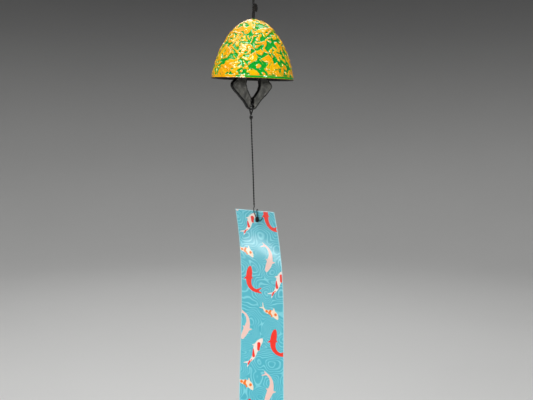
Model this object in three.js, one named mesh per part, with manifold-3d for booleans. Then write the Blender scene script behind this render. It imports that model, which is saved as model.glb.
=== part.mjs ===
// A small cast-iron wind bell on a cord, with its clapper and the printed streamer that catches the wind.
// Millimetres, +Z up, front towards -Y. The origin is the inside of the hanging loop's top, where a hook bears.
import * as THREE from 'three';
import { mergeVertices } from 'three/addons/utils/BufferGeometryUtils.js';
import Module from 'manifold-3d';

const wasm = await Module();
wasm.setup();

// ---- driving dimensions ----
const CORD_D = 1.3;            // waxed twisted cord
const GAP = 0.3;               // clearance left between touching pieces

const LOOP_HALF_WIDTH = 5.2;   // hanging loop, at its widest
const LOOP_FOOT_Z = -39.6;     // where both legs of the loop enter its knot
const LOOP_TURN = 68;          // degrees from the X axis to the loop's plane

const KNOT_Z = -43.8;          // middle of the knot above the bell
const KNOT_HALF = 3.8;         // half the knot's height

const BELL_R = 35;             // outside radius of the mouth
const BELL_H = 50;             // crown to rim
const BELL_WALL = 2.8;
const RIM_WALL = 3.4;
const CROWN_Z = -53;
const CROWN_HOLE_R = 2.6;
const CROWN_X = 0.6;           // the cord bears on one side of the crown hole
const BELL_LEAN = 1.8;         // degrees, rim towards -X
const BELL_SEGMENTS = 52;

const CROWN_KNOT_R = 3.7;      // stop knot that carries the bell, wider than its hole
const CROWN_KNOT_HALF = 2.1;

const CLAPPER_LEAN = 1.7;      // degrees, foot towards -X
const CLAPPER_TURN = 30;       // degrees about its cord
const CLAPPER_T = 3;           // plate thickness
const CLAPPER_HALF_W = 19.5;
const CLAPPER_TOP = -89.6;     // heights of the plate's top, widest line and tip
const CLAPPER_WIDE = -108.6;
const CLAPPER_TIP = -128.8;
const CLAPPER_HOLE_R = 1.6;
const HITCH_R = 3;             // cord rings through the clapper's two holes

const STREAMER_W = 40;
const STREAMER_DROP = 208;     // height it takes as it hangs, a little less than its length
const STREAMER_T = 0.6;
const STREAMER_TOP = -214.9;
const STREAMER_X = 0.5;
const STREAMER_Y = 1.2;
const STREAMER_LEAN = 0.035;   // sideways drift for each millimetre down
const STREAMER_CURL = 16.5;    // how far its middle bows back from a straight sheet
const STREAMER_SET = -0.06;    // backward drift for each millimetre down
const STREAMER_TURN_TOP = 33;  // degrees that the sheet is turned at its top edge
const STREAMER_TURN_FOOT = 1.5;
const TIE_HOLE_R = 1.5;
const TIE_HOLE_U = 2.2;        // the punched hole, from the sheet's middle and its top edge
const TIE_HOLE_S = 7.5;
const TIE_D = 0.8;             // the tie's single thread, thinner than the cord

// ---- materials ----
const BLACK_CORD = { color: 0x1b1a19, roughness: 0.75, metalness: 0 };
const AMBER_PAINT = { color: 0xffb010, roughness: 0.25, metalness: 0.1 };
const BLACK_IRON = { color: 0x3a3a37, roughness: 0.6, metalness: 0.5 };
const PRINTED_SHEET = { color: 0x6fc9d8, roughness: 0.35, metalness: 0 };

// ---- helpers ----
const radians = THREE.MathUtils.degToRad;
const group = new THREE.Group();

function add(name, geometry, look, parent = group) {
  const mesh = new THREE.Mesh(geometry, new THREE.MeshStandardMaterial(look));
  mesh.name = name;
  parent.add(mesh);
  return mesh;
}

// A closed round tube through the points, with flat ends.
function cord(points, steps, diameter = CORD_D) {
  const section = new THREE.Shape();
  const sides = 8;
  for (let i = 0; i < sides; i += 1) {
    const angle = (2 * Math.PI * i) / sides;
    const at = [(diameter / 2) * Math.cos(angle), (diameter / 2) * Math.sin(angle)];
    if (i === 0) section.moveTo(...at);
    else section.lineTo(...at);
  }
  section.closePath();
  const extrudePath = new THREE.CatmullRomCurve3(points.map((p) => new THREE.Vector3(...p)));
  return new THREE.ExtrudeGeometry(section, { steps, bevelEnabled: false, extrudePath });
}

// A knot's outer shape: an ellipsoid with half-sizes a, b and c.
function lump(a, b, c) {
  return new THREE.SphereGeometry(1, 12, 8).scale(a, b, c);
}

function toSolid(geometry) {
  const bare = geometry.clone();
  bare.deleteAttribute('normal');
  bare.deleteAttribute('uv');
  const merged = mergeVertices(bare, 1e-4);
  const vertProperties = new Float32Array(merged.attributes.position.array);
  const triVerts = new Uint32Array(merged.index.array);
  return new wasm.Manifold(new wasm.Mesh({ numProp: 3, vertProperties, triVerts }));
}

function fromSolid(solid) {
  const { vertProperties, triVerts } = solid.getMesh();
  const geometry = new THREE.BufferGeometry();
  geometry.setAttribute('position', new THREE.BufferAttribute(vertProperties, 3));
  geometry.setIndex(new THREE.BufferAttribute(triVerts, 1));
  geometry.computeVertexNormals();
  return geometry;
}

// ---- hanging loop and the knot that closes it ----
function hangingLoop() {
  const foot = CORD_D / 2 + GAP / 2;
  const leg = [
    [foot, LOOP_FOOT_Z], [1.2, -35], [2.7, -27], [4.3, -18], [LOOP_HALF_WIDTH, -9.6], [4.5, -3.6], [2.5, -0.4],
  ];
  const plane = ([u, z]) => [u * Math.cos(radians(LOOP_TURN)), u * Math.sin(radians(LOOP_TURN)), z];
  const mirrored = leg.map(([u, z]) => [-u, z]).reverse();
  return cord([...leg, [0, CORD_D / 2], ...mirrored].map(plane), 44);
}
add('hanging_loop', hangingLoop(), BLACK_CORD);

const KNOT_X = 0.3;
add('loop_knot', lump(1.9, 1.9, KNOT_HALF), BLACK_CORD).position.set(KNOT_X, 0, KNOT_Z);
const knotTail = [[2.5, -0.9, -41.6], [3.2, -1, -42.8], [3.5, -1, -44.3], [3.1, -1, -46], [2.6, -1, -47.4]];
add('loop_knot_tail', cord(knotTail, 6), BLACK_CORD);

// ---- the two strands through the crown, and the stop knot under it ----
const strandTop = KNOT_Z - KNOT_HALF - 2.5 * GAP;
const crownInside = CROWN_Z - BELL_WALL;
const strandFoot = crownInside - GAP;
const STRAND_X = CORD_D / 2 + GAP / 2;
for (const [name, x] of [['bell_cord_left', -STRAND_X], ['bell_cord_right', STRAND_X]]) {
  add(name, cord([[x, 0, strandTop], [x, 0, (strandTop + strandFoot) / 2], [x, 0, strandFoot]], 4), BLACK_CORD);
}
const crownKnotZ = strandFoot - GAP - CROWN_KNOT_HALF;
add('crown_knot', lump(CROWN_KNOT_R, CROWN_KNOT_R, CROWN_KNOT_HALF), BLACK_CORD).position.z = crownKnotZ;

// ---- bell: a domed casting, open below, with a round hole in its crown ----
// Radius of a dome of mouth radius r and height h at a depth under its crown.
const DOME_POWER = 1.42;
const DOME_ROOT = 0.5;
function domeRadius(depth, r, h) {
  const t = Math.min(depth / h, 1);
  return r * (1 - (1 - t) ** DOME_POWER) ** DOME_ROOT;
}

function bell() {
  const rings = 14;
  const outside = [];
  const inside = [];
  const innerR = BELL_R - RIM_WALL;
  const innerH = BELL_H - BELL_WALL;
  for (let i = 0; i <= rings; i += 1) {
    const share = (i / rings) ** 1.6;
    outside.push([Math.max(domeRadius(share * BELL_H, BELL_R, BELL_H), CROWN_HOLE_R), -share * BELL_H]);
    inside.push([Math.max(domeRadius(share * innerH, innerR, innerH), CROWN_HOLE_R), -BELL_WALL - share * innerH]);
  }
  const closed = [...inside, ...outside.reverse(), inside[0]];
  const profile = closed.map(([r, z]) => new THREE.Vector2(r, z));
  return new THREE.LatheGeometry(profile, BELL_SEGMENTS).rotateX(Math.PI / 2);
}
const bellMesh = add('bell', bell(), AMBER_PAINT);
bellMesh.position.set(CROWN_X, 0, CROWN_Z);
bellMesh.rotation.y = radians(BELL_LEAN);

// ---- clapper assembly: it leans as one, about the stop knot ----
const clapperLine = new THREE.Group();
clapperLine.position.z = crownKnotZ;
clapperLine.rotation.y = radians(CLAPPER_LEAN);
group.add(clapperLine);
const below = (z) => z - crownKnotZ;

const STUB = 5.6;
const stubTop = crownKnotZ - CROWN_KNOT_HALF - GAP;
const straight = (z0, z1, steps) => {
  return cord([[0, 0, below(z0)], [0, 0, below((z0 + z1) / 2)], [0, 0, below(z1)]], steps);
};
add('clapper_cord_top', straight(stubTop, stubTop - STUB, 3), BLACK_CORD, clapperLine);

const topHoleZ = CLAPPER_TOP - CLAPPER_HOLE_R - 1.2;
const tipHoleZ = CLAPPER_TIP + CLAPPER_HOLE_R + 1.2;
const SMALL_KNOT = [1.6, 1.6, 1.9];
const clapperKnotZ = topHoleZ + 2 * HITCH_R + CORD_D / 2 + GAP + SMALL_KNOT[2];
const cordTop = stubTop - STUB - GAP;
add('clapper_cord', straight(cordTop, clapperKnotZ + SMALL_KNOT[2] + GAP, 5), BLACK_CORD, clapperLine);
add('clapper_knot', lump(...SMALL_KNOT), BLACK_CORD, clapperLine).position.z = below(clapperKnotZ);

// The clapper is a flat cast plate: a kite outline, a tear-shaped window and a slit under it.
function clapper() {
  const outline = new THREE.Shape();
  const w = CLAPPER_HALF_W;
  outline.moveTo(0, CLAPPER_TIP);
  outline.quadraticCurveTo(2.6, CLAPPER_TIP, 4.4, CLAPPER_TIP + 2.2);
  outline.lineTo(8, -121.6);
  outline.quadraticCurveTo(12.5, -117.4, w - 1.2, CLAPPER_WIDE - 2);
  outline.quadraticCurveTo(w + 0.6, CLAPPER_WIDE, w - 1.6, CLAPPER_WIDE + 2.4);
  outline.lineTo(5.2, CLAPPER_TOP - 3.4);
  outline.quadraticCurveTo(2.8, CLAPPER_TOP, 0, CLAPPER_TOP);
  outline.quadraticCurveTo(-2.8, CLAPPER_TOP, -5.2, CLAPPER_TOP - 3.4);
  outline.lineTo(-w + 0.9, CLAPPER_WIDE + 3);
  outline.quadraticCurveTo(-w - 0.2, CLAPPER_WIDE + 2, -w, CLAPPER_WIDE - 1);
  outline.lineTo(-w + 1.2, CLAPPER_WIDE - 3);
  outline.quadraticCurveTo(-12.5, -117.4, -8, -121.6);
  outline.lineTo(-4.4, CLAPPER_TIP + 2.2);
  outline.quadraticCurveTo(-2.6, CLAPPER_TIP, 0, CLAPPER_TIP);

  const window = new THREE.Path();
  window.moveTo(0.4, -97.4);
  window.quadraticCurveTo(5.4, -99.5, 6.6, -105);
  window.quadraticCurveTo(7.4, -109.4, 5.2, -113.2);
  window.quadraticCurveTo(3.2, -116.6, 0.9, -118.6);
  window.lineTo(0.75, -123.2);
  window.lineTo(-0.95, -123.2);
  window.lineTo(-0.9, -118.3);
  window.quadraticCurveTo(-2.4, -115.9, -4.4, -112.4);
  window.quadraticCurveTo(-6.4, -108.6, -5.6, -104.6);
  window.quadraticCurveTo(-4.4, -99.5, 0.4, -97.4);

  const holes = [topHoleZ, tipHoleZ].map((z) => {
    return new THREE.Path().absarc(0, z, CLAPPER_HOLE_R, 0, 2 * Math.PI, true);
  });
  outline.holes.push(window, ...holes);
  const plate = new THREE.ExtrudeGeometry(outline, { depth: CLAPPER_T, curveSegments: 6, bevelEnabled: false });
  plate.translate(0, -crownKnotZ, -CLAPPER_T / 2);
  return plate.rotateX(Math.PI / 2);
}
const turned = new THREE.Group();
turned.rotation.z = radians(CLAPPER_TURN);
clapperLine.add(turned);
add('clapper', clapper(), BLACK_IRON, turned);

// A ring of cord in the plane square to the plate, through a hole and round the plate's edge.
const ring = () => new THREE.TorusGeometry(HITCH_R, CORD_D / 2, 8, 18).rotateY(Math.PI / 2);
add('clapper_hitch', ring(), BLACK_CORD, turned).position.z = below(topHoleZ + HITCH_R);
add('streamer_hitch', ring(), BLACK_CORD, turned).position.z = below(tipHoleZ - HITCH_R);

// ---- cord from the clapper down to the streamer ----
const TIP_KNOT = [-2.15, 0, -134.8];
add('streamer_cord_knot', lump(...SMALL_KNOT), BLACK_CORD).position.set(...TIP_KNOT);
const stubPath = [[-2.1, 0, -137.1], [-2, 0, -139.6], [-1.9, 0, -142.2]];
add('streamer_cord_top', cord(stubPath, 3), BLACK_CORD);

// The cord's route, hand-set: nearly straight, drifting to +X as it goes down.
const cordRoute = [
  [-1.9, 0, -142.6], [-1.78, 0, -147.5], [-1.62, 0, -152.5], [-1.45, 0, -157.5], [-1.28, 0, -162.5],
  [-1.1, 0, -167.5], [-0.93, 0, -172.5], [-0.76, 0, -177.5], [-0.6, 0, -182.5], [-0.45, 0, -187.5],
  [-0.3, 0, -192.5], [-0.15, 0, -197.5], [-0.02, 0, -202.5], [0.1, 0, -207.4],
];
add('streamer_cord', cord(cordRoute, 24), BLACK_CORD);
add('streamer_cord_end', cord([[0.11, 0, -207.8], [0.2, 0, -209.8], [0.3, 0, -211.8]], 3), BLACK_CORD);

// ---- streamer: a thin printed sheet, turned at its top and bowed along its length ----
// A point u across from the sheet's middle, s down from its top edge, and n in front of it.
function onSheet(u, n, s) {
  const share = s / STREAMER_DROP;
  const turn = radians(STREAMER_TURN_TOP + (STREAMER_TURN_FOOT - STREAMER_TURN_TOP) * share);
  const back = 4 * STREAMER_CURL * share * (1 - share) + STREAMER_SET * s - n;
  return [
    STREAMER_X + STREAMER_LEAN * s + back * Math.sin(turn) + u * Math.cos(turn),
    STREAMER_Y + back * Math.cos(turn) - u * Math.sin(turn),
    STREAMER_TOP - s,
  ];
}

function streamer() {
  const flat = new THREE.BoxGeometry(STREAMER_W, STREAMER_T, STREAMER_DROP, 5, 1, 36);
  const at = flat.attributes.position;
  for (let i = 0; i < at.count; i += 1) {
    at.setXYZ(i, ...onSheet(at.getX(i), -at.getY(i), STREAMER_DROP / 2 - at.getZ(i)));
  }
  const punch = new THREE.CylinderGeometry(TIE_HOLE_R, TIE_HOLE_R, 4, 20);
  punch.rotateZ(-radians(STREAMER_TURN_TOP));
  punch.translate(...onSheet(TIE_HOLE_U, 0, TIE_HOLE_S));
  return fromSolid(toSolid(flat).subtract(toSolid(punch)));
}
add('streamer', streamer(), PRINTED_SHEET);

// ---- the tie at the streamer's hole: points as for onSheet ----
const tied = (points, steps) => cord(points.map((p) => onSheet(...p)), steps, TIE_D);
const strand = [[0.7, 1.3, -2.6], [0.4, 1.35, -1], [0.1, 1.4, 1], [0.6, 1.5, 2.9], [1.2, 1.65, 4.6]];
add('streamer_tie_strand', tied(strand, 6), BLACK_CORD);
const overEdge = [
  [2.2, 0.4, 7.5], [2.25, -0.5, 7.2], [2.5, -1, 5.6], [2.8, -1.05, 3], [2.95, -1, 0.6], [3, -0.6, -0.7],
  [3, 0, -1.1], [3, 0.6, -0.7], [3.05, 1.05, 0.5], [3.05, 1.2, 2.6], [2.85, 1.4, 4.7],
];
add('streamer_tie_loop', tied(overEdge, 20), BLACK_CORD);
const tieKnot = add('streamer_tie_knot', lump(1.8, 1.25, 2.5), BLACK_CORD);
tieKnot.position.set(...onSheet(TIE_HOLE_U, 1.95, TIE_HOLE_S + 0.3));
tieKnot.rotation.z = -radians(STREAMER_TURN_TOP);
const tieTail = [[4.6, 1.9, 8.9], [5.2, 1.7, 8.9], [6.1, 1.5, 8.1], [7.1, 1.5, 7.1], [8.1, 1.7, 5.5]];
add('streamer_tie_tail', tied(tieTail, 6), BLACK_CORD);

export default group;
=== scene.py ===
"""A cast-iron wind bell on its cord, with the clapper inside it and the printed streamer below.

Every object is in metres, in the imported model's frame: +Z up, front towards -Y, origin inside the
top of the hanging loop. Numbers marked with MM are millimetres."""
import math

import bpy
import numpy as np
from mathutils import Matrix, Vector


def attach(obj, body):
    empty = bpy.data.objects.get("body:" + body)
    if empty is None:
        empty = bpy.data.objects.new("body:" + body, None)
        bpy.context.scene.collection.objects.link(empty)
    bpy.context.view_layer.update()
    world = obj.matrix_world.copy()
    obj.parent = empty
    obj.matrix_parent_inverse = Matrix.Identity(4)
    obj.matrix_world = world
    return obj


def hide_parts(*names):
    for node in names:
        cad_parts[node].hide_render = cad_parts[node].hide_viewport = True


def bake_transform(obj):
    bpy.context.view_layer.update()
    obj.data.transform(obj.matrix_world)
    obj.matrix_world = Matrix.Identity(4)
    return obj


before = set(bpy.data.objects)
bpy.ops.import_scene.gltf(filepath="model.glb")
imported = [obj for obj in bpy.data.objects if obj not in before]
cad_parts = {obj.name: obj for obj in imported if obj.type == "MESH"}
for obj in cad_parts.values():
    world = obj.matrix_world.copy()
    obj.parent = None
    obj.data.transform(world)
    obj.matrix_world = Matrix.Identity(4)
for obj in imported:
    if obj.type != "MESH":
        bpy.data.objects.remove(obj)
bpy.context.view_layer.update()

MM = 0.001
TURN = 2 * math.pi


# ---------------------------------------------------------------- camera
# The photo's view, fitted to the ellipse of the bell's rim and to the streamer's top edge.
CAMERA_AT = (0.0109, -0.666, -0.1249)
CAMERA_DOWN = 6.918         # degrees below level
LENS, SENSOR = 52.68, 36    # millimetres
VIEW_END = 20


def make_camera():
    data = bpy.data.cameras.new("camera")
    data.lens = LENS
    data.sensor_width = SENSOR
    data.clip_end = VIEW_END
    camera = bpy.data.objects.new("camera", data)
    camera.location = CAMERA_AT
    camera.rotation_euler = (math.radians(90 - CAMERA_DOWN), 0, 0)
    bpy.context.scene.collection.objects.link(camera)
    bpy.context.scene.camera = camera


make_camera()


# ---------------------------------------------------------------- shader helpers
def new_material(name):
    material = bpy.data.materials.new(name)
    material.use_nodes = True
    tree = material.node_tree
    shader = next(n for n in tree.nodes if n.type == "BSDF_PRINCIPLED")
    return material, tree, shader


def node(tree, kind, inputs=None, **settings):
    made = tree.nodes.new("ShaderNode" + kind)
    for key, value in settings.items():
        setattr(made, key, value)
    for key, value in (inputs or {}).items():
        if isinstance(value, bpy.types.NodeSocket):
            tree.links.new(value, made.inputs[key])
        else:
            made.inputs[key].default_value = value
    return made


def maths(tree, operation, a, b=0.0):
    return node(tree, "Math", {0: a, 1: b}, operation=operation).outputs[0]


def scaled(tree, value, factor):
    return maths(tree, "MULTIPLY", value, factor)


def between(tree, value, low, high, to_low=0.0, to_high=1.0):
    """value carried smoothly from low..high to to_low..to_high, and held there outside."""
    inputs = {"Value": value, "From Min": low, "From Max": high, "To Min": to_low, "To Max": to_high}
    return node(tree, "MapRange", inputs, interpolation_type="SMOOTHSTEP").outputs[0]


def mixed(tree, share, first, second):
    """The colour first, going to second as share goes from 0 to 1."""
    made = node(tree, "Mix", data_type="RGBA")
    for socket, value in zip([made.inputs[0], made.inputs[6], made.inputs[7]], [share, first, second]):
        if isinstance(value, bpy.types.NodeSocket):
            tree.links.new(value, socket)
        elif socket.type == "RGBA":
            socket.default_value = (*value, 1)
        else:
            socket.default_value = value
    return made.outputs[2]


def noise(tree, coords, scale, detail):
    return node(tree, "TexNoise", {"Vector": coords, "Scale": scale, "Detail": detail}).outputs["Fac"]


def painted_value(tree, name):
    return node(tree, "Attribute", attribute_name=name).outputs["Fac"]


def add_bump(tree, shader, height, strength, distance):
    made = node(tree, "Bump", {"Height": height, "Strength": strength, "Distance": distance})
    tree.links.new(made.outputs[0], shader.inputs["Normal"])


def linear(*srgb):
    """The linear colour of an sRGB one given as three numbers from 0 to 255."""
    return tuple(((c / 255 + 0.055) / 1.055) ** 2.4 if c > 10 else c / 255 / 12.92 for c in srgb)


# ---------------------------------------------------------------- mesh helpers
def unit(v):
    return v / np.linalg.norm(v, axis=-1, keepdims=True)


def spline(points, spacing):
    """Even steps along a smooth curve through the points (Catmull-Rom), in any number of columns."""
    p = np.asarray(points, float)
    held = np.vstack([2 * p[0] - p[1], p, 2 * p[-1] - p[-2]])
    t = np.linspace(0, 1, 32, endpoint=False)[:, None]
    parts = []
    for a, b, c, d in zip(held, held[1:], held[2:], held[3:]):
        squared, cubed = 2 * a - 5 * b + 4 * c - d, 3 * b - a - 3 * c + d
        parts.append(b + (c - a) * t / 2 + squared * t**2 / 2 + cubed * t**3 / 2)
    fine = np.vstack([*parts, p[-1:]])
    run = np.concatenate([[0], np.cumsum(np.linalg.norm(np.diff(fine, axis=0), axis=1))])
    want = np.linspace(0, run[-1], max(4, round(run[-1] / spacing)) + 1)
    return np.column_stack([np.interp(want, run, fine[:, k]) for k in range(p.shape[1])])


def make_object(name, vertices, faces, material, uvs=None, values=None):
    """A smooth-shaded mesh object. uvs is one (u, v) for each face corner, and values holds named numbers at
    the vertices."""
    mesh = bpy.data.meshes.new(name)
    mesh.from_pydata(np.asarray(vertices, float).tolist(), [], faces)
    mesh.update()
    mesh.shade_smooth()
    if uvs is not None:
        layer = mesh.uv_layers.new(name="Lay")
        layer.uv.foreach_set("vector", np.asarray(uvs, np.float32).ravel())
    for key, value in (values or {}).items():
        attribute = mesh.attributes.new(key, "FLOAT", "POINT")
        attribute.data.foreach_set("value", np.asarray(value, np.float32))
    mesh.materials.append(material)
    made = bpy.data.objects.new(name, mesh)
    bpy.context.scene.collection.objects.link(made)
    return made


def waves(points, wavelength, seed, count=48, spread=0.25):
    """A smooth random field over the points, about 1 high, whose swells are about a wavelength apart."""
    rng = np.random.default_rng(seed)
    directions = unit(rng.normal(size=(count, 3)))
    rates = TURN / wavelength * (1 + spread * rng.uniform(-1, 1, count))
    starts = rng.uniform(0, TURN, count)
    total = sum(np.cos(points @ d * k + s) for d, k, s in zip(directions, rates, starts))
    return total * math.sqrt(2 / count)


def ease(value, low, high):
    """0 up to low, 1 from high on, and smooth between them."""
    t = np.clip((value - low) / (high - low), 0, 1)
    return t * t * (3 - 2 * t)


# ---------------------------------------------------------------- cord
CORD_D = 1.3 * MM
CORD_LAY = 3.6              # diameters of cord for one full turn of its strands
YARN_REPEAT = 0.9           # diameters of cord in which a yarn goes once round its strand
YARNS = 6.0                 # lines of yarn round each strand
STRAND_SIDES = 10
STRAND_PLUMP = 1.08         # strands are this much thicker than round ones that just touch
CORD_STEP = 0.22 * MM
WRAP_STEPS = 14             # points on each turn round a knot
WRAP_SLIM = 0.28            # share by which a knot's turns are smaller at its ends
STUB_LENGTH = 8.25 * MM     # cord between the streamer knot and the streamer cord's start
LINE_LENGTH = 64.9 * MM     # the streamer cord, from bend to bend


def cord_material():
    material, tree, shader = new_material("waxed_cord")
    lay = node(tree, "SeparateXYZ", {0: node(tree, "UVMap", uv_map="Lay").outputs[0]}).outputs
    place = node(tree, "TexCoord").outputs["Object"]
    yarn = maths(tree, "ADD", scaled(tree, lay[0], YARNS), lay[1])
    ridges = maths(tree, "SINE", scaled(tree, yarn, TURN))
    fuzz = noise(tree, place, 2600, 3)
    dirt = noise(tree, place, 300, 2)
    colour = mixed(tree, between(tree, dirt, 0.3, 0.75), (0.006, 0.006, 0.006), (0.02, 0.019, 0.018))
    # the grooves between the yarns are painted darker still: painted shade
    colour = mixed(tree, between(tree, ridges, -1, 0.2, 0.5, 0), colour, (0.003, 0.003, 0.003))
    tree.links.new(colour, shader.inputs["Base Color"])
    tree.links.new(between(tree, noise(tree, place, 900, 2), 0.3, 0.7, 0.3, 0.52), shader.inputs["Roughness"])
    shader.inputs["Specular IOR Level"].default_value = 0.35
    height = maths(tree, "ADD", ridges, scaled(tree, fuzz, 0.8))
    add_bump(tree, shader, height, 0.6, 0.03 * MM)
    return material


CORD = cord_material()


def rope_mesh(path, diameter, strands, wound, taper):
    """Vertices, faces and corner UVs of a laid rope: strands wound round the path, each closed at its ends.
    wound is the length of rope laid before the path, and taper the share of the thickness left at its end."""
    run = np.concatenate([[0], np.cumsum(np.linalg.norm(np.diff(path, axis=0), axis=1))])
    tangent = unit(np.gradient(path, axis=0))
    side = np.zeros_like(path)
    first = np.array([1, 0, 0]) if abs(tangent[0][0]) < 0.8 else np.array([0, 1, 0])
    for i, t in enumerate(tangent):
        kept = first if i == 0 else side[i - 1]
        side[i] = unit(kept - (kept @ t) * t)
    up = np.cross(tangent, side)
    strand_r = diameter / 2 / (1 + 1 / math.sin(math.pi / strands))
    off = diameter / 2 - strand_r
    around = np.arange(STRAND_SIDES) * TURN / STRAND_SIDES
    cos, sin = np.cos(around)[None, :, None], np.sin(around)[None, :, None]
    thick = (1 - (1 - taper) * ease(run, run[-1] - 2 * diameter, run[-1]))[:, None]
    n = STRAND_SIDES
    v = run / (YARN_REPEAT * diameter)
    vertices, faces, uvs = [], [], []
    for k in range(strands):
        angle = TURN * (k / strands + (run + wound) / (CORD_LAY * diameter))
        outward = np.cos(angle)[:, None] * side + np.sin(angle)[:, None] * up
        line = path + off * thick * outward
        heading = unit(np.gradient(line, axis=0))
        across = unit(np.cross(heading, outward))
        out = np.cross(across, heading)
        radius = strand_r * STRAND_PLUMP * thick[:, None]
        ring = line[:, None] + radius * (cos * out[:, None] + sin * across[:, None])
        start = sum(len(part) for part in vertices)
        vertices.append(ring.reshape(-1, 3))
        vertices.append(np.array([line[0], line[-1]]))
        for i in range(len(path) - 1):
            for j in range(n):
                a, b = start + i * n + j, start + i * n + (j + 1) % n
                faces.append((a, b, b + n, a + n))
                uvs += [(j / n, v[i]), ((j + 1) / n, v[i]), ((j + 1) / n, v[i + 1]), (j / n, v[i + 1])]
        ends = start + len(path) * n
        last = start + (len(path) - 1) * n
        for j in range(n):
            faces.append((ends, start + (j + 1) % n, start + j))
            faces.append((ends + 1, last + j, last + (j + 1) % n))
            uvs += [(j / n, v[0])] * 3 + [(j / n, v[-1])] * 3
    return np.vstack(vertices), faces, uvs


def rope(name, points, node_name, body=None, bend=None, diameter=CORD_D, strands=3, wound=0.0, taper=1.0):
    """A length of cord that stands for a CAD node. It rides on body; when bend is given, it is left
    unparented with its place baked into its vertices, and the bend's bodies and heights are not used.
    """
    path = spline(points, CORD_STEP)
    vertices, faces, uvs = rope_mesh(path, diameter, strands, wound, taper)
    made = make_object(name, vertices, faces, CORD, uvs=uvs)
    if bend:
        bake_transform(made)
    else:
        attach(made, body)
    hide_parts(node_name)
    return made, path


def wrapped(centre, across, deep, height, turns, axes=None, start=0.0):
    """Points of a cord wound round a knot's core: turns going down it, fullest in the middle."""
    x, y, z = np.eye(3) if axes is None else np.asarray(axes)
    t = np.linspace(0, 1, round(turns * WRAP_STEPS))[:, None]
    angle = start + TURN * turns * t
    full = 1 - WRAP_SLIM * (2 * t - 1) ** 2
    round_it = full * (across * np.cos(angle) * x + deep * np.sin(angle) * y)
    return np.asarray(centre) + round_it + height * (0.5 - t) * z


# Bends as (body above, body below, height where the bend starts, height where it ends).
LOOP_BEND = ("root", "loop_knot", -0.0375, -0.0412)
BELL_BEND = ("loop_knot", "bell_cords", -0.0472, -0.0502)
CLAPPER_TOP_BEND = ("bell_cords", "clapper_cord_top", -0.0595, -0.063)
CLAPPER_BEND = ("clapper_cord_top", "clapper_cord", -0.0666, -0.070)
STREAMER_BEND = ("streamer_cord_top", "streamer_cord", -0.1426, -0.149)
TIE_BEND = ("streamer_cord_end", "streamer", -0.2121, -0.2155)


# The hanging loop's leg, up from inside the knot, as (distance from its middle, height) in its own plane.
LOOP_LEG = [(0.0006, -0.0408), (0.0008, -0.0396), (0.0012, -0.035), (0.0027, -0.027), (0.0043, -0.018),
            (0.0052, -0.0096), (0.0045, -0.0036), (0.0025, -0.0004)]
LOOP_TURN = math.radians(68)

STREAMER_CORD_ROUTE = [
    (-0.0019, 0, -0.1426), (-0.00178, 0, -0.1475), (-0.00162, 0, -0.1525), (-0.00145, 0, -0.1575),
    (-0.00128, 0, -0.1625), (-0.0011, 0, -0.1675), (-0.00093, 0, -0.1725), (-0.00076, 0, -0.1775),
    (-0.0006, 0, -0.1825), (-0.00045, 0, -0.1875), (-0.0003, 0, -0.1925), (-0.00015, 0, -0.1975),
    (-0.00002, 0, -0.2025), (0.0001, 0, -0.2074),
]


def make_hanging_loop():
    flat = [*LOOP_LEG, (0, CORD_D / 2), *[(-u, z) for u, z in reversed(LOOP_LEG)]]
    points = [(u * math.cos(LOOP_TURN), u * math.sin(LOOP_TURN), z) for u, z in flat]
    made, path = rope("loop_cord", points, "hanging_loop", bend=LOOP_BEND)


def make_streamer_cord():
    made, path = rope("streamer_cord_line", STREAMER_CORD_ROUTE, "streamer_cord", bend=STREAMER_BEND,
                      strands=2, wound=STUB_LENGTH)


make_hanging_loop()
make_streamer_cord()


# ---------------------------------------------------------------- knots and short cords above the clapper
KNOT = np.array([0.3, 0, -43.8]) * MM       # the middle of the loop's knot
KNOT_HALF = 3.8 * MM                        # half its height


def make_upper_cords():
    half = KNOT_HALF - CORD_D / 2
    middle = KNOT + (0.5 * MM, 0, 0)
    wraps = wrapped(middle, across=1.4 * MM, deep=1.3 * MM, height=2 * half, turns=4.4, start=2.2)
    rope("loop_knot_wraps", wraps, "loop_knot", "loop_knot")
    core = [KNOT + (x * MM, 0, z * MM) for x, z in ((0, 3.6), (0.4, 1.2), (0.4, -1.2), (0, -3.4))]
    rope("loop_knot_core", core, "loop_knot", "loop_knot", diameter=1.9 * MM)
    tail = np.array([(0.9, -1.1, -40.9), (2.1, -1.3, -41.3), (2.9, -1.2, -42.6), (3.1, -1.1, -44.2),
                     (2.8, -1, -45.9), (2.3, -1, -47.4)]) * MM
    rope("loop_knot_end", tail, "loop_knot_tail", "loop_knot")
    for side, x in (("left", -0.66), ("right", 0.66)):
        points = np.array([(x * 0.7 + 0.2, 0, -46.3), (x, 0, -49), (x, 0, -52.5), (x * 0.9, 0, -57.3)]) * MM
        rope("bell_strand_" + side, points, "bell_cord_" + side, bend=BELL_BEND)


def trefoil(centre, across, height):
    """Points of a tight three-lobed knot that lies flat, a little short of closing."""
    t = np.linspace(0, TURN, 90)[:-2]
    r = across * (0.64 + 0.36 * np.cos(3 * t))
    lobes = np.column_stack([r * np.cos(2 * t), r * np.sin(2 * t), height * np.sin(3 * t)])
    return np.asarray(centre) + lobes


CROWN_KNOT_Z = -58.5 * MM
LEAN = math.radians(1.7)


def leaned(z, x=0.0, y=0.0):
    """A point of the clapper's line, which leans as one about the crown knot. z is its height before that."""
    drop, cos, sin = z - CROWN_KNOT_Z, math.cos(LEAN), math.sin(LEAN)
    return np.array([x * cos + drop * sin, y, CROWN_KNOT_Z + drop * cos - x * sin])


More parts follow.
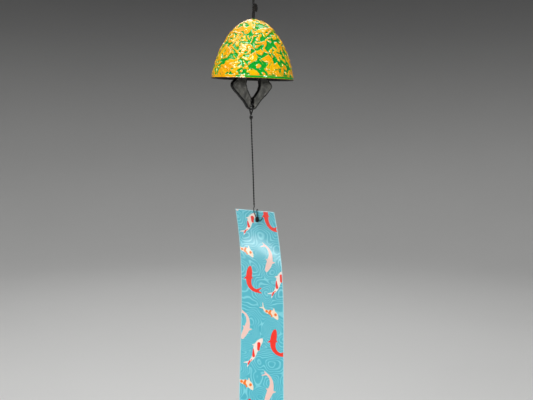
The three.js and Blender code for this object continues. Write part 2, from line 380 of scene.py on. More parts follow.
def make_clapper_cords():
    knot = trefoil((0, 0, CROWN_KNOT_Z), across=3.0 * MM, height=1.4 * MM)
    rope("crown_stop_knot", knot, "crown_knot", "bell_cords")
    top = [leaned(z * MM) for z in (-58.6, -61, -63.5, -66.6)]
    rope("clapper_line_top", top, "clapper_cord_top", bend=CLAPPER_TOP_BEND)
    low = [leaned(z * MM) for z in (-66.6, -71, -76, -82.2)]
    rope("clapper_line", low, "clapper_cord", bend=CLAPPER_BEND, wound=8 * MM)
    wraps = wrapped(leaned(-83.55 * MM), across=0.95 * MM, deep=0.95 * MM, height=2.4 * MM, turns=2.4)
    rope("clapper_line_knot", wraps, "clapper_knot", "clapper_cord")


make_upper_cords()
make_clapper_cords()


# ---------------------------------------------------------------- bell
BELL_R = 35.0           # millimetres, as the rest of the bell's own sizes
BELL_H = 50.0
BELL_WALL = 2.8
RIM_WALL = 3.4
CROWN = np.array([0.6, 0, -53.0])
CROWN_HOLE_R = 2.6
BELL_LEAN = math.radians(1.8)
DOME_POWER = 1.42
FACET = 0.43            # size of the fine outer facets
INSIDE_FACET = 1.4
INSIDE_STEP = 1.1
FACET_STRETCH = 1.15    # a facet round a ring may be this much longer than asked
MOUTH_COUNTS = [512, 512, 256, 256, 128, 128]   # facets in each ring round the mouth's edge
RELIEF = 0.65           # height of the amber islands above the green ground
GROOVE_HIGH = 2.3       # height above the rim of the plain band below the relief
GREEN_BAND_AT = math.radians(-54)    # where the band is green, and again on the other side


def dome_radius(depth, r, h):
    return r * np.sqrt(1 - (1 - np.clip(depth / h, 0, 1)) ** DOME_POWER)


def profile(r, h, top, spacing):
    """(radius, depth) in even steps from the crown hole to the mouth, on a dome whose top is at depth top."""
    depth = h * np.linspace(0, 1, 4000) ** 2    # closest together at the crown, where the curve is sharpest
    radius = dome_radius(depth, r, h)
    kept = radius >= CROWN_HOLE_R
    line = np.column_stack([radius[kept], top + depth[kept]])
    return spline(line[::12], spacing)


def ring_count(radius, facet):
    """How many facets go round a ring, always a power of two."""
    return int(2 ** math.ceil(math.log2(TURN * radius / facet / FACET_STRETCH)))


def skin(counts):
    """Faces between rings of vertices, each ring as long as the next, twice as long or half as long."""
    faces, start = [], 0
    for a, b in zip(counts, counts[1:]):
        after = start + a
        if a == b:
            faces += [(start + j, after + j, after + (j + 1) % b, start + (j + 1) % a) for j in range(a)]
        elif b == 2 * a:
            for j in range(a):
                p, q = start + j, start + (j + 1) % a
                f = [after + 2 * j, after + 2 * j + 1, after + (2 * j + 2) % b]
                faces += [(p, f[0], f[1]), (p, f[1], q), (q, f[1], f[2])]
        else:
            for j in range(b):
                p, q = after + j, after + (j + 1) % b
                f = [start + 2 * j, start + 2 * j + 1, start + (2 * j + 2) % a]
                faces += [(p, f[1], f[0]), (p, q, f[1]), (q, f[2], f[1])]
        start = after
    return faces


def ridges_of(field, width):
    """1 along the lines where a field crosses zero, falling to 0 within about its width of them."""
    return np.exp(-(field / width) ** 2)


def bell_relief(points, above_rim):
    """Height of the cast relief and share of green paint at points of the outer surface."""
    warp = np.column_stack([waves(points, 9, seed) for seed in (3, 4, 5)])
    bent = points + 1.6 * warp

    # amber islands on a green ground, with ridges that swell on them and green veins that cut into them
    blobs = waves(bent, 7.6, seed=177) + 0.5 * waves(bent, 4.1, seed=1177)
    raised = ease(blobs, -0.72, 0.32)
    lip = ridges_of(blobs - 0.25, 0.25)
    folds = ridges_of(waves(bent, 7.0, seed=31), 0.36)
    curls = ridges_of(waves(bent, 5.2, seed=36), 0.3)
    veins = ridges_of(waves(bent, 9.0, seed=21), 0.28) * ease(waves(bent, 12, seed=22), 0.1, 0.8)
    ripple = waves(bent, 3.4, seed=32) + 0.5 * waves(points, 2.1, seed=33)
    swell = 0.1 * lip + 0.34 * folds + 0.22 * curls + 0.08 * ripple - 0.24 * veins
    height = RELIEF * (raised - 1.55) + raised * swell
    height += (1 - raised) * 0.05 * ripple
    green = np.clip(1 - ease(blobs, -0.32, 0.04) + 0.8 * veins, 0, 1)

    # the plain band with its groove, between the relief and the rim
    above_band = ease(above_rim, GROOVE_HIGH - 0.3, GROOVE_HIGH + 0.4)
    around = np.arctan2(points[:, 1], points[:, 0])
    patch = ease(np.cos(2 * (around - GREEN_BAND_AT)) + 0.5 * waves(points, 6, seed=42), -0.55, -0.25)
    groove = ease(above_rim, 0.2, 0.7) * (1 - ease(above_rim, GROOVE_HIGH - 0.6, GROOVE_HIGH))
    height = above_band * height + (1 - above_band) * (-0.12 - 0.33 * groove + 0.06 * ripple)
    green = above_band * green + (1 - above_band) * patch * groove
    return height, green


def bell_material():
    material, tree, shader = new_material("bell_paint")
    place = node(tree, "TexCoord").outputs["Object"]
    green, iron = painted_value(tree, "green"), painted_value(tree, "iron")
    tone = between(tree, noise(tree, place, 130, 3), 0.32, 0.68)
    amber = mixed(tree, tone, linear(250, 198, 0), linear(250, 168, 0))
    leaf = mixed(tree, noise(tree, place, 260, 2), linear(0, 148, 38), linear(14, 184, 44))
    paint = mixed(tree, between(tree, green, 0.3, 0.62), amber, leaf)
    stain = between(tree, noise(tree, place, 420, 4), 0.45, 0.75)
    rust = mixed(tree, stain, (0.012, 0.0115, 0.011), (0.034, 0.028, 0.024))
    bare = maths(tree, "ADD", iron, scaled(tree, noise(tree, place, 500, 3), 0.25))
    bare = between(tree, bare, 0.5, 0.68)
    tree.links.new(mixed(tree, bare, paint, rust), shader.inputs["Base Color"])
    satin = between(tree, noise(tree, place, 700, 2), 0.3, 0.7, 0.16, 0.3)
    tree.links.new(node(tree, "Mix", {0: bare, 2: satin, 3: 0.62}).outputs[0], shader.inputs["Roughness"])
    shader.inputs["Coat Roughness"].default_value = 0.06
    shader.inputs["Coat IOR"].default_value = 1.55
    shader.inputs["Specular IOR Level"].default_value = 0.15
    tree.links.new(maths(tree, "SUBTRACT", 1.0, bare), shader.inputs["Coat Weight"])
    paint_grain = scaled(tree, noise(tree, place, 650, 2), 0.5)
    grain = node(tree, "Mix", {0: bare, 2: paint_grain, 3: noise(tree, place, 1500, 5)}).outputs[0]
    add_bump(tree, shader, grain, 0.35, 0.12 * MM)
    return material


def bell_rings():
    """The casting's rings as (radius, depth), with how many vertices each has and how many rings are outside.
    They go down the outside, round the mouth, up the inside and out through the crown hole."""
    outer = profile(BELL_R, BELL_H, 0, FACET)
    outer[-1, 1] = BELL_H - 0.15
    inner_r = BELL_R - RIM_WALL
    mouth = np.array([(BELL_R - 0.08, BELL_H), (BELL_R - 0.4, BELL_H + 0.28), (BELL_R - 1.1, BELL_H + 0.38),
                      (BELL_R - 2.3, BELL_H + 0.34), (inner_r + 0.35, BELL_H + 0.12),
                      (inner_r - 0.02, BELL_H - 0.4)])
    inner = profile(inner_r, BELL_H - BELL_WALL, BELL_WALL, INSIDE_STEP)[::-1]
    inner = inner[inner[:, 1] < BELL_H - 0.8]
    hole = np.array([(CROWN_HOLE_R - 0.25, BELL_WALL - 0.3), (CROWN_HOLE_R - 0.35, BELL_WALL / 2),
                     (CROWN_HOLE_R - 0.25, 0.5)])
    counts = [ring_count(r, FACET) for r, _ in outer]
    hole_count = counts[0]
    counts += MOUTH_COUNTS + [max(hole_count // 2, ring_count(r, INSIDE_FACET)) for r, _ in inner]
    counts += [hole_count] * len(hole)
    return np.vstack([outer, mouth, inner, hole]), counts, len(outer)


def round_axis(outward, along, n):
    """n rows evenly round the bell's axis, each with the same parts outward from it and along it."""
    angle = np.arange(n) * TURN / n
    return np.column_stack([outward * np.cos(angle), outward * np.sin(angle), np.full(n, along)])


def bell_surface():
    """The casting's vertices in millimetres about its own crown, its faces, and its paint values."""
    rings, counts, outside = bell_rings()
    points = np.vstack([round_axis(r, -depth, n) for (r, depth), n in zip(rings, counts)])
    faces = skin(counts)
    n = counts[-1]
    last = len(points) - n
    faces += [(last + j, j, (j + 1) % n, last + (j + 1) % n) for j in range(n)]

    is_outer = np.arange(len(points)) < sum(counts[:outside])
    slope = np.gradient(rings[:outside], axis=0)
    normals = unit(np.column_stack([slope[:, 1], slope[:, 0]]))
    out = np.zeros_like(points)
    out[is_outer] = np.vstack([round_axis(nr, nz, n) for (nr, nz), n in zip(normals, counts)])
    above_rim = BELL_H + points[:, 2]
    height, green = bell_relief(points, above_rim)
    fade = is_outer * ease(np.hypot(points[:, 0], points[:, 1]), CROWN_HOLE_R, CROWN_HOLE_R + 1.5)
    points = points + (height * fade)[:, None] * out

    cast = 0.07 * waves(points, 2.4, seed=51) + 0.05 * waves(points, 5.5, seed=52)
    from_axis = unit(np.column_stack([points[:, 0], points[:, 1], np.zeros(len(points))]))
    rough = ~is_outer & (points[:, 2] > -BELL_H + 1)
    points[rough] += cast[rough, None] * from_axis[rough]
    green = np.where(is_outer, green, 0)
    iron = np.where(is_outer, 0.6 * (1 - ease(above_rim, -0.1, 0.9)), 1.0)
    return points, faces, {"green": green, "iron": iron}


def make_bell():
    points, faces, values = bell_surface()
    cos, sin = math.cos(BELL_LEAN), math.sin(BELL_LEAN)
    x, y, z = points.T
    placed = np.column_stack([x * cos + z * sin, y, z * cos - x * sin]) + CROWN
    made = make_object("bell_casting", placed * MM, [f[::-1] for f in faces], bell_material(), values=values)
    smooth = made.modifiers.new("smooth", "SMOOTH")
    smooth.factor, smooth.iterations = 0.5, 3
    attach(made, "bell")
    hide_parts("bell")


make_bell()


# ---------------------------------------------------------------- clapper
CLAPPER_TURN = math.radians(30)
CLAPPER_T = 4.0         # millimetres, as the rest of the clapper's own sizes
CLAPPER_BEVEL = 0.35
CLAPPER_FACET = 0.34
TOP_HOLE_Z, TIP_HOLE_Z = -92.4, -126.0
CORD_HOLE_R, CORD_HOLE_SIDES = 1.6, 28
HITCH_REACH = 6.0

# Outlines as (across, height), clockwise from the top. "b" stands before a bend's control point and end.
CLAPPER_OUTLINE = [
    (0, -89.6), "b", (2.8, -89.6), (5.2, -93), (17.9, -106.2), "b", (20.1, -108.6), (18.3, -110.6),
    "b", (12.5, -117.4), (8, -121.6), (4.4, -126.6), "b", (2.6, -128.8), (0, -128.8),
    "b", (-2.6, -128.8), (-4.4, -126.6), (-8, -121.6), "b", (-12.5, -117.4), (-18.3, -111.6),
    (-19.5, -109.6), "b", (-19.7, -106.6), (-18.6, -105.6), (-5.2, -93), "b", (-2.8, -89.6), (0, -89.6),
]
CLAPPER_WINDOW = [
    (0.4, -97.4), "b", (5.4, -99.5), (6.6, -105), "b", (7.4, -109.4), (5.2, -113.2),
    "b", (3.2, -116.6), (0.9, -118.6), (0.75, -123.2), (-0.95, -123.2), (-0.9, -118.3),
    "b", (-2.4, -115.9), (-4.4, -112.4), "b", (-6.4, -108.6), (-5.6, -104.6),
    "b", (-4.4, -99.5), (0.4, -97.4),
]


def outline(points):
    """The points of a closed outline whose bends are quadratic curves."""
    made, i = [np.array(points[0], float)], 1
    while i < len(points):
        if isinstance(points[i], str):
            a, b, c = made[-1], np.array(points[i + 1]), np.array(points[i + 2])
            for t in np.linspace(0, 1, 9)[1:]:
                made.append((1 - t) ** 2 * a + 2 * t * (1 - t) * b + t * t * c)
            i += 3
        else:
            made.append(np.array(points[i], float))
            i += 1
    return made[:-1]


def iron_material():
    material, tree, shader = new_material("clapper_iron")
    place = node(tree, "TexCoord").outputs["Object"]
    mottle = between(tree, noise(tree, place, 220, 4), 0.35, 0.7)
    face = mixed(tree, mottle, linear(60, 60, 56), linear(90, 89, 83))
    # the plate's sides and a band along its outline and window go near black, with a black metallic finish
    # that reflects little: painted shade
    edge = maths(tree, "ADD", painted_value(tree, "edge"), scaled(tree, noise(tree, place, 700, 3), 0.3))
    edge = between(tree, edge, 0.2, 0.42)
    tree.links.new(mixed(tree, edge, face, (0.006, 0.006, 0.006)), shader.inputs["Base Color"])
    tree.links.new(between(tree, edge, 0, 1, 0.3, 0.75), shader.inputs["Metallic"])
    tree.links.new(between(tree, noise(tree, place, 500, 3), 0.3, 0.7, 0.42, 0.6), shader.inputs["Roughness"])
    add_bump(tree, shader, noise(tree, place, 1300, 5), 0.55, 0.14 * MM)
    return material


def clapper_loops():
    """The plate's outline, its window and its two round holes."""
    circle = [TURN * i / CORD_HOLE_SIDES for i in range(CORD_HOLE_SIDES)]
    holes = [[(CORD_HOLE_R * math.cos(a), z + CORD_HOLE_R * math.sin(a)) for a in circle]
             for z in (TOP_HOLE_Z, TIP_HOLE_Z)]
    return [outline(CLAPPER_OUTLINE), outline(CLAPPER_WINDOW), *holes]


def evaluated_mesh(made):
    graph = bpy.context.evaluated_depsgraph_get()
    return bpy.data.meshes.new_from_object(made.evaluated_get(graph))


def plate_mesh(loops):
    """Points, normals and faces, in fine even facets, of a flat plate with rounded edges inside the first
    loop, pierced by the rest."""
    data = bpy.data.curves.new("clapper_outline", "CURVE")
    data.dimensions, data.fill_mode = "2D", "BOTH"
    data.extrude = CLAPPER_T / 2 - CLAPPER_BEVEL
    data.bevel_depth, data.bevel_resolution, data.offset = CLAPPER_BEVEL, 3, -CLAPPER_BEVEL
    for loop in loops:
        line = data.splines.new("POLY")
        line.points.add(len(loop) - 1)
        line.points.foreach_set("co", np.array([(x, z, 0, 1) for x, z in loop], np.float32).ravel())
        line.use_cyclic_u = True
    flat = bpy.data.objects.new("clapper_outline", data)
    bpy.context.scene.collection.objects.link(flat)
    solid = bpy.data.objects.new("clapper_solid", evaluated_mesh(flat))
    bpy.context.scene.collection.objects.link(solid)
    remesh = solid.modifiers.new("even", "REMESH")
    remesh.mode, remesh.voxel_size = "VOXEL", CLAPPER_FACET
    smooth = solid.modifiers.new("smooth", "SMOOTH")
    smooth.factor, smooth.iterations = 0.5, 2
    fine = evaluated_mesh(solid)
    for helper in (flat, solid):
        bpy.data.objects.remove(helper)
    arrays = []
    for key in ("co", "normal"):
        numbers = np.zeros(len(fine.vertices) * 3, np.float32)
        fine.vertices.foreach_get(key, numbers)
        arrays.append(numbers.reshape(-1, 3).astype(float))
    return *arrays, [tuple(p.vertices) for p in fine.polygons]


def on_clapper(across, up, thick):
    """A place on the plate, which hangs turned about its cord."""
    cos, sin = math.cos(CLAPPER_TURN), math.sin(CLAPPER_TURN)
    return leaned(up, across * cos + thick * sin, across * sin - thick * cos)


def make_clapper():
    loops = clapper_loops()
    points, normals, faces = plate_mesh(loops)
    lumps = 0.05 * waves(points, 3.2, seed=61) + 0.035 * waves(points, 1.3, seed=62)
    lumps += 0.06 * waves(points, 9, seed=63)
    points += lumps[:, None] * normals
    # edge marks the plate's sides and a band about half a millimetre wide along its outline and window, which
    # are painted black: painted shade
    border = np.vstack([spline([*loop, loop[0]], 0.2) for loop in loops[:2]])
    from_border = np.min([np.hypot(points[:, 0] - x, points[:, 1] - z) for x, z in border], axis=0)
    edge = np.maximum(1 - np.abs(normals[:, 2]), 0.8 * (1 - ease(from_border, 0.5, 1.0)))
    placed = np.array([on_clapper(*p) for p in points * MM])
    made = make_object("clapper_plate", placed, faces, iron_material(), values={"edge": edge})
    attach(made, "clapper")
    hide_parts("clapper")


# Half of a hitch as (distance from the plate's middle in millimetres, share of its reach from its hole).
HITCH = [(0.1, 1.2), (0.6, 0.98), (2.0, 0.6), (2.5, 0.25), (1.9, -0.02), (0, -0.06)]


def hitch(name, hole_z, away, node_name):
    """A loop of cord through a hole in the plate and round its edge, drawn together where it is tied. away is
    1 where it is tied above the hole and -1 where below."""
    half = [(w, h * HITCH_REACH * away) for w, h in HITCH]
    flat = [*half, *[(-w, h) for w, h in reversed(half[:-1])]]
    rope(name, [on_clapper(0, (hole_z + h) * MM, w * MM) for w, h in flat], node_name, "clapper")


make_clapper()
hitch("clapper_hitch_loop", TOP_HOLE_Z, 1, "clapper_hitch")
hitch("streamer_hitch_loop", TIP_HOLE_Z, -1, "streamer_hitch")


def make_streamer_upper_cord():
    knot = np.array([-2.15, 0, -135.1]) * MM
    wraps = wrapped(knot, across=0.9 * MM, deep=0.9 * MM, height=2.4 * MM, turns=2.4, start=2.6)
    rope("streamer_line_knot", wraps, "streamer_cord_knot", "streamer_cord_top")
    stub = np.array([(-2.15, 0, -134.7), (-2.1, 0, -137.1), (-2, 0, -139.6), (-1.9, 0, -142.65)]) * MM
    rope("streamer_line_top", stub, "streamer_cord_top", "streamer_cord_top", strands=2)
    end = np.array([(0.1, 0, -207.35), (0.2, 0, -209.8), (0.32, 0, -212.2)]) * MM
    rope("streamer_line_end", end, "streamer_cord_end", "streamer_cord_end", strands=2,
         wound=STUB_LENGTH + LINE_LENGTH, taper=0.62)


make_streamer_upper_cord()


# ---------------------------------------------------------------- streamer
SHEET_W = 40.0          # millimetres, as the rest of the sheet's own sizes
SHEET_DROP = 208.0      # how far it hangs down, a little less than its length because it curls
SHEET_T = 0.3
SHEET_X, SHEET_Y, SHEET_TOP = 0.5, 1.2, -214.9
SHEET_LEAN, SHEET_SET = 0.035, -0.06    # how far it goes right, and back, for each step down
SHEET_CURL = 16.5       # how far its middle bellies back
TURN_TOP, TURN_FOOT = 33, 1.5           # degrees it is turned about the cord, at its top and its foot
FACETS_ACROSS, FACETS_DOWN = 80, 416
TIE_HOLE = (1.8, 7.5)   # (across, down) on the sheet
TIE_HOLE_R = 1.05
TIE_D = 0.8 * MM        # the tie's single thread


def on_sheet(u, n, s):
    """Places, in millimetres, u across from the sheet's middle, s down from its top and n in front of it."""
    u, n, s = (np.asarray(v, float) for v in (u, n, s))
    share = s / SHEET_DROP
    turn = np.radians(TURN_TOP + (TURN_FOOT - TURN_TOP) * share)
    back = 4 * SHEET_CURL * share * (1 - share) + SHEET_SET * s - n
    return np.stack([SHEET_X + SHEET_LEAN * s + back * np.sin(turn) + u * np.cos(turn),
                     SHEET_Y + back * np.cos(turn) - u * np.sin(turn), SHEET_TOP - s], axis=-1)


# The print's four carp. Each has a body, a spine of (across, down, half width) from nose to tail root, and
# bars for fins and tail lobes, each (across, down, half width) twice. Each is printed at every (shift across,
# shift down, width, height) of "at". Blots are bars too.
CARP = {
    "red": {
        "body": [(-10.5, 51.7, 0.5), (-11.0, 53.3, 1.7), (-11.6, 56.5, 2.6), (-12.2, 60.0, 2.8),
                 (-12.6, 63.4, 2.6), (-12.5, 66.9, 2.3), (-11.2, 70.2, 1.9), (-8.4, 72.8, 1.6),
                 (-5.2, 73.9, 1.5)],
        "bars": [(-13.6, 61.6, 1.4, -17.6, 63.6, 0.15), (-11.2, 61.0, 1.4, -8.3, 62.8, 0.15),
                 (-5.4, 73.7, 1.3, -0.9, 70.9, 0.4), (-5.2, 74.0, 1.3, -0.9, 75.4, 0.45)],
        "at": [(0, 0, 1, 1), (23.5, -58.0, 0.84, 1.04), (22.7, 56.0, 1, 1), (0.2, 118.1, 1, 1)],
    },
    "pink": {
        "body": [(4.9, 55.2, 0.6), (5.4, 53.4, 1.7), (6.6, 51.0, 2.3), (8.2, 47.6, 2.7), (9.4, 44.0, 2.4),
                 (10.1, 40.2, 1.7), (9.6, 36.6, 1.3), (7.9, 33.4, 1.0), (5.6, 31.4, 0.8)],
        "bars": [(7.8, 45.6, 1.4, 5.1, 43.5, 0.15), (10.2, 46.6, 1.4, 14.1, 46.1, 0.15),
                 (5.6, 31.4, 0.8, 3.4, 29.0, 0.25), (5.4, 31.3, 0.8, 0.9, 32.9, 0.25)],
        "at": [(0, 0, 1, 1), (-23.5, 62.8, 1, 1), (-0.9, 116.3, 1, 1), (-23.2, -54.0, 1, 1)],
    },
    "white": {
        "body": [(-0.1, 117.3, 0.9), (-1.3, 118.8, 2.0), (-3.3, 121.4, 2.7), (-5.1, 124.8, 2.7),
                 (-6.4, 128.4, 2.2), (-7.1, 131.3, 1.8), (-8.3, 134.2, 1.4), (-10.2, 136.6, 1.0),
                 (-11.8, 138.0, 0.8)],
        "bars": [(-5.4, 122.6, 1.6, -9.2, 122.7, 0.2), (-3.4, 124.0, 1.5, -2.6, 127.4, 0.35),
                 (-11.6, 137.9, 0.8, -16.4, 138.8, 0.3), (-11.7, 138.2, 0.85, -13.1, 142.2, 0.35)],
        "at": [(0, 0, 1, 1), (21.9, -63.4, 1, 1), (-0.8, -116.4, 1.09, 0.8)],
    },
    "cream": {
        "body": [(14.1, 98.1, 0.6), (13.4, 96.6, 1.6), (12.2, 94.8, 2.4), (10.4, 93.4, 2.7), (7.6, 92.3, 2.3),
                 (4.9, 91.9, 1.7), (2.6, 91.0, 1.05), (1.0, 88.9, 0.7)],
        "bars": [(10.9, 91.8, 1.2, 10.8, 88.1, 0.15), (8.8, 94.2, 1.2, 8.7, 96.3, 0.4),
                 (0.9, 88.6, 0.6, 0.3, 83.9, 0.25), (1.0, 88.9, 0.6, -2.5, 88.6, 0.3)],
        "at": [(0, 0, 1, 1), (-21.8, -55.3, 1, 1), (-22.2, 63.4, 1, 1)],
    },
}
RED_BLOTS = [(-2.9, 121.4, 1.5, -3.0, 126.2, 1.45), (-8.3, 126.4, 0.7, -7.6, 132.4, 1.25),
             (-9.4, 136.0, 0.5, -9.8, 136.4, 0.5), (-11.0, 137.4, 0.8, -12.4, 140.0, 0.65)]
ORANGE_BLOTS = [(3.9, 91.6, 1.15, 4.2, 91.7, 1.15), (7.8, 90.5, 0.9, 6.5, 93.0, 1.15),
                (6.7, 93.1, 1.1, 8.8, 95.9, 0.9), (12.3, 94.1, 1.25, 12.3, 94.2, 1.25)]
BLOTS = {"white": ("red", RED_BLOTS), "cream": ("orange", ORANGE_BLOTS)}
CARP_REACH = 24         # no part of a carp is further than this from its middle
FAR = 3.0               # distances are held to this
RIPPLE_CELL = 19        # how far apart the water's rings start
RIPPLE_PITCH = 1.35


def bar_distance(u, s, bars):
    """Distance outside the nearest of the bars, less than 0 inside one."""
    nearest = np.full(len(u), FAR)
    for ua, sa, wa, ub, sb, wb in bars:
        du, ds = ub - ua, sb - sa
        t = np.clip(((u - ua) * du + (s - sa) * ds) / max(du * du + ds * ds, 1e-9), 0, 1)
        nearest = np.minimum(nearest, np.hypot(u - ua - t * du, s - sa - t * ds) - wa - t * (wb - wa))
    return nearest


def print_distances(u, s):
    """For each colour of the print, how far each place is outside its nearest carp or blot."""
    ink = {name: np.full(len(u), FAR) for name in ("red", "pink", "white", "cream", "orange")}
    for kind, carp in CARP.items():
        spine = spline(carp["body"], 0.7)
        bars = [*np.hstack([spine[:-1], spine[1:]]), *carp["bars"]]
        middle = spine[len(spine) // 2][:2]
        for shift_u, shift_s, wide, tall in carp["at"]:
            at_u = (u - middle[0] - shift_u) / wide + middle[0]
            at_s = (s - middle[1] - shift_s) / tall + middle[1]
            near = np.hypot(at_u - middle[0], at_s - middle[1]) < CARP_REACH
            body = bar_distance(at_u[near], at_s[near], bars)
            ink[kind][near] = np.minimum(ink[kind][near], body)
            if kind in BLOTS:
                colour, blots = BLOTS[kind]
                blot = np.maximum(bar_distance(at_u[near], at_s[near], blots), body)
                ink[colour][near] = np.minimum(ink[colour][near], blot)
    return ink


def sheet_material():
    material, tree, shader = new_material("printed_sheet")
    flat = node(tree, "UVMap", uv_map="Lay").outputs[0]
    bend = node(tree, "TexNoise", {"Vector": flat, "Scale": 0.07, "Detail": 1.0}).outputs["Color"]
    bend = node(tree, "VectorMath", {0: bend, 1: (9, 9, 0)}, operation="MULTIPLY").outputs[0]
    bent = node(tree, "VectorMath", {0: flat, 1: bend}, operation="ADD").outputs[0]
    cells = {"Vector": bent, "Scale": 1 / RIPPLE_CELL, "Smoothness": 0.35}
    rings = node(tree, "TexVoronoi", cells, feature="SMOOTH_F1").outputs["Distance"]
    line = maths(tree, "SINE", scaled(tree, rings, RIPPLE_CELL / RIPPLE_PITCH * TURN))
    broken = between(tree, noise(tree, flat, 0.12, 1), 0.35, 0.6, 0.7, 1)
    deep, mid, pale = linear(76, 180, 198), linear(88, 190, 207), linear(128, 214, 226)
    colour = mixed(tree, noise(tree, flat, 0.05, 1), deep, mid)
    colour = mixed(tree, maths(tree, "MULTIPLY", between(tree, line, 0.0, 0.9), broken), colour, pale)
    inks = [("pink", linear(247, 206, 194)), ("white", linear(252, 234, 222)),
            ("cream", linear(252, 230, 204)), ("red", linear(250, 48, 26)), ("orange", linear(250, 126, 26))]
    for name, ink in inks:
        colour = mixed(tree, between(tree, painted_value(tree, name), 0.09, -0.09), colour, ink)
    # a pale band within about 0.75 mm of the cut edges: painted highlight of the edges catching the light
    rim = between(tree, painted_value(tree, "from_edge"), 0.75, 0.25, 0, 0.75)
    tree.links.new(mixed(tree, rim, colour, linear(196, 244, 250)), shader.inputs["Base Color"])
    tree.links.new(between(tree, noise(tree, flat, 0.9, 3), 0.3, 0.7, 0.42, 0.54), shader.inputs["Roughness"])
    shader.inputs["Specular IOR Level"].default_value = 0.35
    shader.inputs["Coat Weight"].default_value = 0.6
    shader.inputs["Coat Roughness"].default_value = 0.13
    add_bump(tree, shader, noise(tree, flat, 3.5, 3), 0.12, 0.05 * MM)
    return material


def sheet_grid():
    """The flat sheet's places u and s, its quads, and its border as pairs of places. The tie's hole is cut
    out."""
    across, down = FACETS_ACROSS, FACETS_DOWN
    grid_u, grid_s = np.meshgrid(np.linspace(-SHEET_W / 2, SHEET_W / 2, across + 1),
                                 np.linspace(0, SHEET_DROP, down + 1))
    u, s = grid_u.ravel(), grid_s.ravel()
    corner = np.arange((across + 1) * (down + 1)).reshape(down + 1, across + 1)
    quads = np.stack([corner[:-1, :-1], corner[1:, :-1], corner[1:, 1:], corner[:-1, 1:]], -1).reshape(-1, 4)
    off_u, off_s = u - TIE_HOLE[0], s - TIE_HOLE[1]
    inside = np.hypot(off_u, off_s) < TIE_HOLE_R
    quads = quads[~inside[quads].any(axis=1)]
    edges = [(a, b) for i in range(4) for a, b in quads[:, [i, (i + 1) % 4]].tolist()]
    seen = set(edges)
    border = [(a, b) for a, b in edges if (b, a) not in seen]
    hole = sorted({v for e in border for v in e if math.hypot(off_u[v], off_s[v]) < 2 * TIE_HOLE_R})
    reach = np.hypot(off_u[hole], off_s[hole])
    u[hole] = TIE_HOLE[0] + off_u[hole] * TIE_HOLE_R / reach
    s[hole] = TIE_HOLE[1] + off_s[hole] * TIE_HOLE_R / reach
    used = np.unique(quads)
    renumber = np.zeros(len(u), int)
    renumber[used] = np.arange(len(used))
    return u[used], s[used], renumber[quads], renumber[np.array(border)]


def make_streamer():
    u, s, quads, border = sheet_grid()
    flat = np.column_stack([u, s, np.zeros(len(u))])
    wave = 0.06 * waves(flat, 40, seed=71) + 0.012 * waves(flat, 14, seed=72)
    front, back = on_sheet(u, wave + SHEET_T / 2, s), on_sheet(u, wave - SHEET_T / 2, s)
    n = len(u)
    faces = [tuple(f) for f in quads.tolist()]
    faces += [tuple(v + n for v in reversed(f)) for f in quads.tolist()]
    faces += [(b, a, a + n, b + n) for a, b in border.tolist()]
    uvs = np.tile(flat[:, :2], (2, 1))[np.concatenate(faces)]
    values = {name: np.tile(v, 2) for name, v in print_distances(u, s).items()}
    # from_edge also places the painted highlight along the cut edges
    from_edge = np.minimum.reduce([SHEET_W / 2 - np.abs(u), s, SHEET_DROP - s])
    values["from_edge"] = np.tile(from_edge, 2)
    made = make_object("streamer_sheet", np.vstack([front, back]) * MM, faces, sheet_material(), uvs=uvs,
                       values=values)
    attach(made, "streamer")
    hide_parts("streamer")


make_streamer()


def placed(points):
    """Points given as (across, in front, down) in millimetres on the sheet."""
    return on_sheet(*np.array(points).T) * MM


def make_tie():
    strand = placed([(0.7, 1.3, -2.8), (0.4, 1.35, -1), (0.1, 1.4, 1), (0.6, 1.5, 2.9), (1.4, 1.8, 5.4)])
    rope("tie_strand", strand, "streamer_tie_strand", bend=TIE_BEND, diameter=TIE_D)
    loop = placed([(2.1, 0.9, 7.8), (2.15, -0.5, 7.2), (2.5, -1, 5.6), (2.8, -1.05, 3), (2.95, -1, 0.6),
                   (3, -0.6, -0.7), (3, 0, -1.1), (3, 0.6, -0.7), (3.05, 1.05, 0.5), (3.05, 1.2, 2.6),
                   (2.8, 1.6, 5.4)])
    rope("tie_loop", loop, "streamer_tie_loop", "streamer", diameter=TIE_D)
    turn = math.radians(TURN_TOP)
    axes = [(math.cos(turn), -math.sin(turn), 0), (math.sin(turn), math.cos(turn), 0), (0, 0, 1)]
    centre = placed([(2.2, 1.75, 7.8)])[0]
    wraps = wrapped(centre, across=1.35 * MM, deep=0.85 * MM, height=4.0 * MM, turns=5.2, axes=axes)
    rope("tie_knot", wraps, "streamer_tie_knot", "streamer", diameter=TIE_D)
    core = [centre + (0, 0, z * MM) for z in (2.3, 0.8, -0.8, -2.3)]
    rope("tie_knot_core", core, "streamer_tie_knot", "streamer", diameter=1.5 * MM)
    tail = placed([(3.4, 1.8, 8.6), (4.6, 1.9, 8.9), (5.2, 1.7, 8.9), (6.1, 1.5, 8.1), (7.1, 1.5, 7.1),
                   (8.1, 1.7, 5.5)])
    rope("tie_tail", tail, "streamer_tie_tail", "streamer", diameter=TIE_D)


make_tie()


# ---------------------------------------------------------------- stage and light
FLOOR_Z, BACKDROP_TOP = -0.58, 2.6
FLOOR_R, BEND_R = 1.6, 1.2      # the flat floor's radius, and the radius of the bend up from it
STAGE_SIDES = 64
BELL_MIDDLE = (0, 0, -0.1)
STREAMER_MIDDLE = (0, 0, -0.25)
WORLD_LIGHT = 0.25


def floor_material():
    """Pale where it is flat, and darker up the backdrop."""
    material, tree, shader = new_material("pale_floor")
    place = node(tree, "TexCoord").outputs["Object"]
    height = node(tree, "SeparateXYZ", {0: place}).outputs[2]
    pale = mixed(tree, noise(tree, place, 3, 3), (0.7, 0.7, 0.69), (0.74, 0.74, 0.73))
    colour = mixed(tree, between(tree, height, FLOOR_Z, 0.5), pale, (0.2, 0.2, 0.2))
    tree.links.new(colour, shader.inputs["Base Color"])
    shader.inputs["Roughness"].default_value = 0.9
    return material


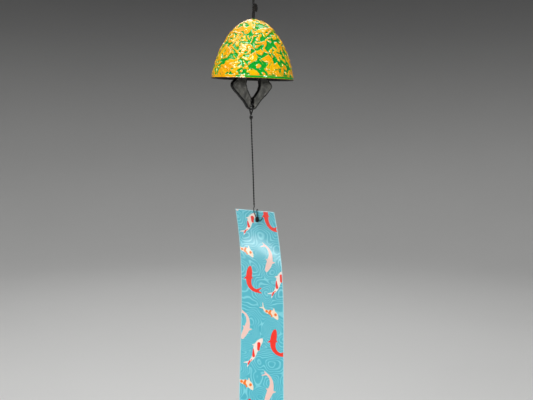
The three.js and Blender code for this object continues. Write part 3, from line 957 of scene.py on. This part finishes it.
def make_stage():
    """A pale floor that curves up into a backdrop on every side, so that no edge of it shows."""
    line = [(r, FLOOR_Z) for r in (0.05, 0.8, FLOOR_R)]
    line += [(FLOOR_R + BEND_R * math.sin(a), FLOOR_Z + BEND_R * (1 - math.cos(a)))
             for a in np.linspace(0, math.pi / 2, 14)[1:]]
    line += [(FLOOR_R + BEND_R, BACKDROP_TOP)]
    n = STAGE_SIDES
    vertices = [(r * math.cos(TURN * i / n), r * math.sin(TURN * i / n), z)
                for r, z in line for i in range(n)]
    faces = [(k * n + i, k * n + (i + 1) % n, (k + 1) * n + (i + 1) % n, (k + 1) * n + i)
             for k in range(len(line) - 1) for i in range(n)]
    faces += [tuple(range(n))[::-1]]
    made = make_object("floor", vertices, faces, floor_material())


def softbox(name, place, target, size, power, spread=180, roll=0):
    """A lit rectangle of the given size, aimed at target. power is in watts, spread and roll in degrees."""
    data = bpy.data.lights.new(name, "AREA")
    data.shape, data.size, data.size_y, data.energy = "RECTANGLE", size[0], size[1], power
    data.spread = math.radians(spread)
    made = bpy.data.objects.new(name, data)
    made.location = place
    made.rotation_euler = (Vector(target) - Vector(place)).to_track_quat("-Z", "Y").to_euler()
    made.rotation_euler.rotate_axis("Z", math.radians(roll))
    made.visible_camera = False
    bpy.context.scene.collection.objects.link(made)


def make_light():
    softbox("key", (-0.44, -0.62, 0.72), BELL_MIDDLE, (0.3, 0.7), power=10)
    softbox("left", (-0.95, -0.1, 0.85), BELL_MIDDLE, (0.5, 0.5), power=3.2)
    softbox("front", (0.75, -0.95, 0.03), (0, 0, -0.2), (0.4, 0.16), power=6)
    # the narrow strip whose reflection is the sheen across the streamer
    softbox("low", (-0.334, -0.198, -0.455), STREAMER_MIDDLE, (0.026, 0.12), power=0.036, spread=90, roll=36)
    softbox("back", (-0.3, 1.2, 0.9), STREAMER_MIDDLE, (0.6, 0.6), power=4)
    softbox("above", (0.3, 0.6, 1.2), BELL_MIDDLE, (1.0, 0.8), power=8)
    world = bpy.data.worlds.new("studio")
    world.use_nodes = True
    background = world.node_tree.nodes["Background"]
    background.inputs[0].default_value = (1, 1, 1, 1)
    background.inputs[1].default_value = WORLD_LIGHT
    bpy.context.scene.world = world
    bpy.context.scene.view_settings.view_transform = "Standard"


make_stage()
make_light()
